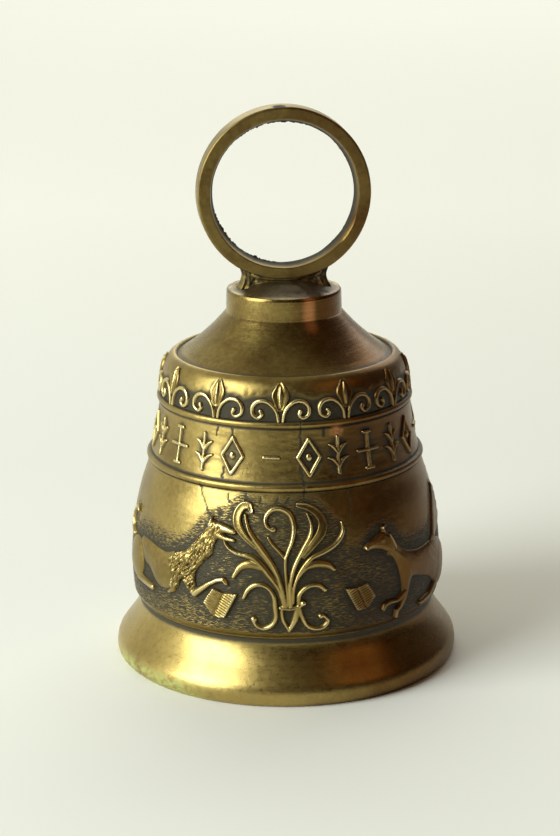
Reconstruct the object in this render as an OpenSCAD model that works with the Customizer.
// Sanctus bell: a small cast brass hand bell with a ring handle, cast ornament
// and a clapper that hangs on a wire link. Millimetres, +Z up, origin in the
// middle of the rim's resting face, front towards -Y.

/* [Bell casting] */
// Diameter across the widest part of the lip
lip_d = 80; // [76:1:84]
// Height from the rim to the top edge of the collar
collar_top = 86.7; // [84:0.1:90]
// How far the figures and the palmettes stand out of the drum
figure_relief = 1.3; // [0.6:0.1:1.6]
// How far the flower frieze and the band motifs stand out
band_relief = 0.8; // [0.4:0.1:1.2]

/* [Ring handle] */
// Outer diameter of the ring
ring_od = 39.4; // [36:0.2:42]
// Inner diameter at the parting line, where the ring is tightest
ring_id = 32.2; // [29:0.2:33]
// Width of the ring along its own axis
ring_w = 6; // [4:0.5:8]
// Turn of the ring about the bell's axis, in degrees
ring_turn = 7; // [0:1:15]

/* [Clapper] */
// Height of the staple bar that the link swings on
bar_z = 73; // [72:0.5:75]
// Diameter of the clapper's ball
ball_d = 14; // [12:0.5:15]
// Height of the middle of the ball when it hangs at rest
ball_z = 11.5; // [11:0.5:14]
// Distance between the link's two bearing axes
link_len = 8; // [7:0.5:9]

/* [Ornament] */
// Number of flowers in the frieze
fleur_count = 12; // [8:1:12]
// Number of motif groups round the middle band
band_groups = 4; // [3:1:4]

/* [Hidden] */

$fn = 96;
rs = lip_d / 80;              // radial scale of the casting
zs = collar_top / 86.7;       // height scale of the casting
drum_r = 35.8 * rs;           // radius on which the figures are laid out
frieze_r = 28.5 * rs;         // radius on which the flowers are laid out
band_r = 29.9 * rs;           // radius on which the band motifs are laid out

bronze = [0.55, 0.43, 0.2];
dark_bronze = [0.36, 0.28, 0.14];
bright_brass = [0.72, 0.58, 0.28];
iron = [0.3, 0.29, 0.28];

// ---- curves -----------------------------------------------------------------

// One point of the smooth curve from b to c, whose neighbours are a and d.
function between(a, b, c, d, t) = 0.5 * (2 * b + (c - a) * t
    + (2 * a - 5 * b + 4 * c - d) * t * t + (3 * b - a - 3 * c + d) * t * t * t);

// A smooth curve through the points p, with n steps from each to the next.
function smooth(p, n = 4) =
    let (last = len(p) - 1)
    [for (i = [0 : last - 1], k = [0 : n - 1])
        between(p[max(i - 1, 0)], p[i], p[i + 1], p[min(i + 2, last)], k / n), p[last]];

// The same for a closed outline.
function smooth_loop(p, n = 4) =
    let (m = len(p))
    [for (i = [0 : m - 1], k = [0 : n - 1])
        between(p[(i + m - 1) % m], p[i], p[(i + 1) % m], p[(i + 2) % m], k / n)];

// Half a bead: an arc of radius s that bulges outwards from (r, z).
function bead(r, z, s) = [for (a = [-90 : 15 : 90]) [r + s * cos(a), z + s * sin(a)]];

function reversed(p) = [for (i = [len(p) - 1 : -1 : 0]) p[i]];
function to_size(p) = [for (q = p) [q[0] * rs, q[1] * zs]];
function moved_out(p, d) = [for (q = p) [q[0] + d, q[1]]];
function mirrored(p) = [for (q = p) [-q[0], q[1]]];
function unit(v) = v / norm(v);

// ---- bell casting -----------------------------------------------------------

// The profile from the rim up, as (radius, height).
lip_curve = to_size(smooth([[39, 0], [39.8, 1], [40, 2.7], [39.5, 4.6], [38.2, 6.5],
    [36.7, 8.5], [35.4, 10.6], [34.6, 12.5], [34.3, 14]]));
drum_curve = to_size(smooth([[34.5, 14.8], [35.3, 15.5], [35.7, 16.6], [36, 21],
    [35.95, 26], [35.5, 31], [34.7, 36], [33.5, 41], [32.2, 45], [31.5, 47.4]]));
low_bead = to_size(bead(31.15, 48.4, 0.95));
band_curve = to_size(smooth([[31, 49.4], [30.1, 53], [29.4, 57], [28.9, 61.2]]));
high_bead = to_size(bead(28.65, 62.1, 0.85));
frieze_curve = to_size(smooth([[28.6, 63], [28.4, 65.5], [28, 68], [27.4, 69.9],
    [26.5, 71.3], [25.4, 72.1], [24.9, 72.1]]));
cone_curve = to_size(smooth([[24.5, 71.6], [24.1, 71.8], [22, 73.2], [19.5, 75.2],
    [17, 77.5], [15, 79.6], [13.4, 81.4]]));
collar_curve = to_size([[13.05, 86.3], [12.8, 86.7]]);
mound_curve = to_size(smooth([[12.3, 86.5], [9.5, 87.3], [6, 88.5], [0, 88.9]]));
outer_curve = concat(lip_curve, drum_curve, low_bead, band_curve, high_bead, frieze_curve,
    cone_curve, collar_curve, mound_curve);
hollow_curve = to_size(smooth([[36.4, 0], [36.1, 2], [35, 5.5], [33.2, 9], [31.9, 12],
    [31.8, 15], [32.6, 20], [32.8, 25], [32.5, 30], [31.9, 35], [30.8, 40],
    [29.3, 44.5], [28.2, 48], [27.1, 53], [26.4, 58], [25.8, 63], [24.9, 67],
    [22.5, 70.2], [19, 73], [15.5, 76], [12, 79], [9, 80.8], [5, 81.3], [0, 81.3]]));

wire_r = 1.5;                 // staple wire
leg_y = 4.6;                  // distance of each staple leg from the middle
socket_foot = 78 * zs;        // below the ceiling of the hollow
socket_end = 84.4 * zs;       // blind end of each staple socket

module bell_body() {
    color(bronze) difference() {
        rotate_extrude($fn = 180) polygon(concat(outer_curve, reversed(hollow_curve)));
        for (s = [-1, 1]) translate([0, s * leg_y, socket_foot])
            cylinder(r = wire_r, h = socket_end - socket_foot, $fn = 48);
    }
}

// ---- relief -----------------------------------------------------------------

// Flat outline points (along the surface, height) on the chord of radius r.
function on_chord(p, r) = [for (q = p) [r * sin(q[0] / r * 180 / PI), q[1] * zs]];

// A ribbon of half width w along the smooth curve through p.
function ribbon(p, w, n = 3) =
    let (c = smooth(p, n), last = len(c) - 1,
         side = [for (i = [0 : last])
             let (d = unit(c[min(i + 1, last)] - c[max(i - 1, 0)])) [-d[1], d[0]] * w])
    concat([for (i = [0 : last]) c[i] + side[i]],
           [for (i = [last : -1 : 0]) c[i] - side[i]]);

// The layer that stands h proud of the profile p, cut to the outlines. These
// are drawn flat, laid out on radius r and centred on azimuth az, which is 0
// at the front and grows towards +X.
module relief(p, h, az, r, outlines) {
    intersection() {
        rotate_extrude($fn = 180) polygon(concat(p, reversed(moved_out(p, h))));
        rotate([0, 0, az]) rotate([90, 0, 0]) linear_extrude(height = lip_d)
            for (o = outlines) polygon(on_chord(o, r));
    }
}

// A flower: a pointed leaf between two scrolls.
fleur_turn = -2;
fleur_line = 0.45;
fleur_scroll = [[-0.5, 63.1], [-0.9, 64.6], [-1.7, 66.2], [-3.1, 67.4], [-4.7, 67.4],
    [-5.9, 66.3], [-5.9, 64.8], [-4.9, 64]];
fleur_leaf = [[0, 65.9], [1.4, 67.4], [1.9, 69], [0, 71], [-1.9, 69], [-1.4, 67.4]];

module fleur_frieze() {
    color(dark_bronze) for (i = [0 : fleur_count - 1])
        relief(frieze_curve, band_relief, fleur_turn + i * 360 / fleur_count, frieze_r, [
            ribbon(fleur_scroll, fleur_line), ribbon(mirrored(fleur_scroll), fleur_line),
            smooth_loop(fleur_leaf, 3)]);
}

// Band motifs: a dash, a lozenge, a sprig and a barred cross.
band_low = 51;
band_high = 59;
band_mid = (band_low + band_high) / 2;
band_line = 0.42;
function line(a, b) = ribbon([a, b], band_line, 1);
function both_sides(x, z1, z2) = [for (s = [-1, 1]) line([0, z1], [s * x, z2])];
dash = [line([-1.6, band_mid], [1.6, band_mid])];
lozenge = concat(both_sides(2.6, band_low, band_mid), both_sides(2.6, band_high, band_mid));
sprig = concat([line([0, band_low], [0, band_high])], both_sides(2.2, 52.5, 54.6),
    both_sides(1.9, 55.5, 57.5));
barred_cross = [line([0, band_low], [0, band_high]), line([-2.8, band_mid], [2.8, band_mid]),
    line([-1, band_low], [1, band_low]), line([-1, band_high], [1, band_high])];
band_order = [dash, lozenge, sprig, barred_cross, sprig, lozenge];
band_turns = [-6, 10, 23, 38, 53, 67];

module band_motifs() {
    color(dark_bronze) for (g = [0 : band_groups - 1], m = [0 : len(band_order) - 1])
        relief(band_curve, band_relief, g * 360 / band_groups + band_turns[m], band_r,
            band_order[m]);
}

// A palmette: leaves that spring from a knot, with scrolls and a bud below it.
palm_line = 0.5;
palm_turns = [0.5, 180.5];
palm_strokes = [
    // the middle spiral and its bud
    [[0, 22.6], [-0.2, 27], [-0.6, 30.5], [-0.5, 33.6], [0.9, 37.2], [1.5, 40.2],
        [0.8, 42.8], [-1.4, 44], [-3.6, 44], [-5.1, 42.6], [-4.9, 40.8]],
    [[-0.5, 33.6], [-1.7, 34.9], [-3.5, 36.7], [-4.8, 38.2]],
    // the left-hand leaves, from the middle outwards
    [[-0.4, 22.6], [-1.5, 27.6], [-2.8, 31.4], [-4.6, 34], [-6.6, 36.6], [-8.7, 39.2],
        [-10, 42.8]],
    [[-7.4, 36.2], [-10.3, 38.2], [-12, 40.2], [-12.5, 42.2], [-12, 43.8], [-10, 45]],
    [[-0.7, 22.6], [-1.8, 26.6], [-3.7, 29.3], [-6, 32.2], [-8, 33.6], [-12, 34.4],
        [-13.8, 35.3], [-14.7, 36.4]],
    [[-5.6, 31.4], [-7.4, 31.9], [-9.2, 31.8], [-10.8, 31.2], [-12.3, 29]],
    [[-9.6, 24.7], [-8.7, 26.3], [-7.5, 27.4], [-6, 27.6], [-4.4, 27], [-3.2, 25.4],
        [-2.6, 22.6], [-2.6, 19.9], [-3.6, 18.2], [-5.4, 17.3], [-6.9, 17.9], [-7.8, 19.2]],
    // the right-hand leaves
    [[0.7, 22.6], [0.5, 27.6], [1.5, 31.6], [3.5, 35.4], [5.1, 38.2], [5.5, 40.6],
        [4.8, 42.8]],
    [[4.4, 36], [6.6, 36.8], [8, 38.9], [8.7, 41.2], [7.6, 43.2], [5.5, 44.5], [3, 44.9]],
    [[1, 24], [2, 29.2], [3.2, 31.9], [5.2, 33.5], [7.7, 34.4], [10.1, 35.5], [12, 36.9],
        [13.1, 38.4], [12.9, 40]],
    [[2, 29], [3.6, 30.9], [4.9, 31.7], [6.8, 32], [9.1, 31.6], [10.6, 30.4]],
    [[8, 26.4], [7, 27.3], [5.5, 27.5], [3.6, 26.7], [2.4, 25.3], [2.2, 22.6], [3.1, 20.1],
        [4.3, 17.9], [6, 17.1], [8, 17.5], [9, 18.9], [8.2, 20.1]],
    // the knot and the pointed drop under it
    [[-1.6, 22.4], [0.5, 22.2], [2.6, 22.8], [3.6, 23.4]],
    [[-1.4, 22.3], [-1, 19.4], [0.3, 17], [1.6, 19.4], [2, 22.4]]];

module palmettes() {
    color(dark_bronze) for (az = palm_turns)
        relief(drum_curve, figure_relief, az, drum_r,
            [for (s = palm_strokes) ribbon(s, palm_line, 2)]);
}

// Each figure is an azimuth and, round it, the outlines of its parts.
module figure(az, outlines) {
    color(dark_bronze) relief(drum_curve, figure_relief, az, drum_r,
        [for (o = outlines) smooth_loop(o, 3)]);
}

lion_turn = -48;
lion_body = [[18.2, 37.7], [16.8, 39.5], [14.8, 40], [12, 41.2], [10.2, 39.6], [8.5, 36.8],
    [6.4, 34], [4, 32.2], [-3, 31.6], [-9, 32.6], [-14, 32.2], [-17.5, 30], [-19, 26.5],
    [-18.2, 23], [-14, 20.6], [-9.5, 21], [-6, 23], [0, 23.2], [3.5, 21.6], [7, 21.6],
    [8.8, 24.6], [9, 28.6], [11.4, 31.8], [13.2, 35.9], [14.4, 37.6], [16.2, 37.2]];
lion_paw = [[8, 24.2], [10, 26.8], [13.5, 28.2], [16, 28.5], [16.9, 27.4], [14.5, 26.4],
    [11.5, 25], [9.5, 22.8]];
lion_tail = [[-17, 22.4], [-20.4, 26.4], [-21.4, 30.4], [-21.2, 34.4], [-19.6, 37.4],
    [-17.2, 38.6], [-16.4, 37.2], [-18.6, 35.2], [-19.4, 32.2], [-18.6, 27.4]];
module lion_relief() figure(lion_turn, [lion_body, lion_paw, lion_tail]);

ox_turn = 54;
ox_body = [[-15.2, 34.6], [-14.8, 33.2], [-11.5, 33.5], [-9, 32.6], [-6.8, 29.5],
    [-5.2, 26.2], [-5.2, 21.4], [-7, 16.9], [-4.2, 16.7], [-2.6, 20], [-1.6, 23.6],
    [2, 24.6], [6.4, 23.6], [8, 20], [7.2, 16.9], [10.4, 16.7], [12.6, 21.2], [14.6, 26.2],
    [15.2, 30], [13, 33], [8, 33.4], [2, 32.6], [-2, 33.4], [-5, 35.6], [-6.2, 37.2],
    [-9, 37.3], [-12, 36.4], [-13.6, 35.3]];
ox_wing = [[5.2, 29.4], [8.6, 33.4], [12.6, 37.6], [17, 40.6], [20.2, 40.4],
    [20.8, 35.4], [17.4, 30.4], [10.4, 27.4]];
module ox_relief() figure(ox_turn, [ox_body, ox_wing]);

eagle_turn = -130;
eagle_body = [[-14.2, 39], [-12.6, 41.2], [-9.8, 41.4], [-7.4, 39], [-5.6, 36], [0, 34],
    [5, 29.5], [11, 24.5], [15.5, 21.2], [13, 19.6], [7, 21.4], [2, 23.2], [-1.6, 22.6],
    [-3.6, 21.8], [-6.6, 22.4], [-7.2, 25.5], [-9.6, 30], [-11, 35], [-11.6, 38]];
eagle_wing = [[-7, 36], [-2, 40.5], [4, 44.2], [11, 45.4], [17.5, 43], [20, 37.5],
    [18, 31.5], [12.6, 27.4], [5, 28], [-2, 30.6]];
module eagle_relief() figure(eagle_turn, [eagle_body, eagle_wing]);

angel_turn = 130;
angel_body = [[8.5, 43.6], [6, 42.6], [5.4, 40], [6.2, 37.8], [3.4, 36], [0.6, 33],
    [-1.6, 28.4], [-6, 24], [-12, 21.6], [-15.6, 18.6], [-8, 17.6], [2, 17.4],
    [8.8, 17.8], [9.4, 21.4], [9, 26.4], [12.8, 29.8], [13.4, 31.6], [11, 33.4],
    [9.6, 36.4], [10.8, 38.6], [11.2, 41.4]];
angel_wing = [[4, 35.4], [-1, 39.6], [-7, 43.8], [-13.6, 45.4], [-18.6, 42.6],
    [-20, 36.5], [-17, 30.5], [-11, 27], [-4, 28.6]];
module angel_relief() figure(angel_turn, [angel_body, angel_wing]);

// An open book: two leaves that meet at a spine, whose foot is at (x, z).
function book(x, z, tilt) = [for (s = [-1, 1])
    [for (q = [[0, 0], [s * 3, 0.7], [s * 3, 5.1], [0, 4.4]])
        [x + q[0] * cos(tilt) - q[1] * sin(tilt), z + q[0] * sin(tilt) + q[1] * cos(tilt)]]];
books_by_turn = [[lion_turn, book(15, 18.8, -20)], [ox_turn, book(-17, 20.2, 10)],
    [eagle_turn, book(-14.5, 18.4, 14)], [angel_turn, book(15, 19.4, -12)]];

module books() {
    color(dark_bronze) for (b = books_by_turn)
        relief(drum_curve, figure_relief, b[0], drum_r, b[1]);
}

// ---- ring handle ------------------------------------------------------------

ring_r = ring_od / 2;
bore_r = ring_id / 2;
land = 2;                     // width of the ring's land at the parting line
draft = 0.8;                  // how much wider the bore is at the ring's faces
edge = 0.5;                   // rounding of the ring's outer edges
chamfer = 0.15;
crown_z = 88.9 * zs;          // top of the mound on the crown
seat = 0.02;                  // how far the ring beds into the mound
ring_z = crown_z + ring_r - seat;
half_section = [[bore_r, land / 2], [bore_r + draft, ring_w / 2], [ring_r - edge, ring_w / 2],
    [ring_r - chamfer, ring_w / 2 - chamfer], [ring_r, ring_w / 2 - edge]];

// Turns a section (radius, along the axis) into the upright ring at its place.
module upright_ring(section) {
    translate([0, 0, ring_z]) rotate([0, 0, ring_turn]) rotate([90, 0, 0])
        rotate_extrude($fn = 144) polygon(section);
}

module ring_handle() {
    color(bronze) upright_ring(concat(half_section,
        [for (q = reversed(half_section)) [q[0], -q[1]]]));
}

// Braze metal: a block each side of the ring's foot, cut to the ring above it
// and to the mound below.
braze_in = 3.4;
braze_out = 10.2;
braze_w = 6.4;
module ring_braze() {
    color(bright_brass) difference() {
        rotate([0, 0, ring_turn]) for (s = [-1, 1])
            translate([s * (braze_in + braze_out) / 2, 0, crown_z])
                cube([braze_out - braze_in, braze_w, 8], center = true);
        upright_ring([[0, -ring_w], [ring_r, -ring_w], [ring_r, ring_w], [0, ring_w]]);
        rotate_extrude($fn = 180)
            polygon(concat([[0, 80 * zs], [12.3 * rs, 80 * zs]], mound_curve));
    }
}

// ---- clapper ----------------------------------------------------------------

fit_gap = 0.08;               // clearance of each hanging joint
link_r = 1.1;                 // link wire
link_z = bar_z - link_len;    // axis of the link's lower wire

// A quarter bend of round wire from the +X side of its centre to the +Y side.
module wire_bend(bend, r) {
    rotate_extrude(angle = 90) translate([bend, 0]) circle(r = r, $fn = 32);
}

staple_bend = 2;
module clapper_staple() {
    straight = leg_y - staple_bend;
    bend_z = bar_z + staple_bend;
    color(iron) union() {
        translate([0, 0, bar_z]) rotate([90, 0, 0])
            cylinder(r = wire_r, h = 2 * straight, center = true, $fn = 48);
        for (turn = [0, 180]) rotate([0, 0, turn]) {
            translate([0, straight, bend_z]) rotate([0, -90, 0]) rotate([0, 0, 90])
                wire_bend(staple_bend, wire_r);
            translate([0, leg_y, bend_z]) cylinder(r = wire_r, h = socket_end - bend_z, $fn = 48);
        }
    }
}

link_bend = 1.4;
link_half = wire_r + fit_gap + link_r; // from the middle to the link's sides
module clapper_link() {
    color(iron) union() {
        translate([0, 0, bar_z]) rotate([90, 0, 0]) rotate_extrude(angle = 180)
            translate([link_half, 0]) circle(r = link_r, $fn = 32);
        translate([0, 0, link_z]) rotate([0, 90, 0])
            cylinder(r = link_r, h = 2 * (link_half - link_bend), center = true, $fn = 32);
        for (turn = [0, 180]) rotate([0, 0, turn]) {
            translate([link_half - link_bend, 0, link_z + link_bend]) rotate([-90, 0, 0])
                wire_bend(link_bend, link_r);
            translate([link_half, 0, link_z + link_bend])
                cylinder(r = link_r, h = link_len - link_bend, $fn = 32);
        }
    }
}

ball_r = ball_d / 2;
rod_foot_r = 2.1;
rod_head_r = 1.6;
eye_r = 3.3;
eye_t = 2;                    // thickness of the flattened eye
neck_z = link_z - eye_r - 3;  // where the rod starts to narrow into the eye
neck_h = 4.5;
thread_r = 1.6;
flat = 0.4;                   // depth of the flats on the ball's top and bottom
nut_h = 2.4;
nut_r = 3.2;
nut_z = ball_z - ball_r + flat - nut_h;
module clapper_rod() {
    ball_top = ball_z + ball_r - flat;
    color(bright_brass) difference() {
        union() {
            translate([0, 0, link_z]) rotate([0, 90, 0])
                cylinder(r = eye_r, h = eye_t, center = true, $fn = 64);
            translate([0, 0, neck_z])
                cylinder(r1 = rod_head_r, r2 = eye_t / 2, h = neck_h, $fn = 48);
            translate([0, 0, ball_top])
                cylinder(r1 = rod_foot_r, r2 = rod_head_r, h = neck_z - ball_top, $fn = 48);
            translate([0, 0, nut_z - flat])
                cylinder(r = thread_r, h = ball_top - nut_z + flat, $fn = 48);
        }
        translate([0, 0, link_z]) rotate([0, 90, 0])
            cylinder(r = link_r + fit_gap, h = 2 * eye_t, center = true, $fn = 48);
    }
}

module clapper_ball() {
    color(bright_brass) difference() {
        translate([0, 0, ball_z]) sphere(r = ball_r);
        translate([0, 0, ball_z - ball_d]) cylinder(r = thread_r, h = 2 * ball_d, $fn = 48);
        for (s = [-1, 1]) translate([0, 0, ball_z + s * ball_r])
            cube([ball_d, ball_d, 2 * flat], center = true);
    }
}

module clapper_nut() {
    color(iron) difference() {
        translate([0, 0, nut_z]) cylinder(r = nut_r, h = nut_h, $fn = 6);
        translate([0, 0, nut_z - 1]) cylinder(r = thread_r, h = nut_h + 2, $fn = 48);
    }
}

bell_body();
ring_handle();
ring_braze();
clapper_staple();
fleur_frieze();
band_motifs();
palmettes();
lion_relief();
ox_relief();
eagle_relief();
angel_relief();
books();
clapper_link();
clapper_rod();
clapper_ball();
clapper_nut();
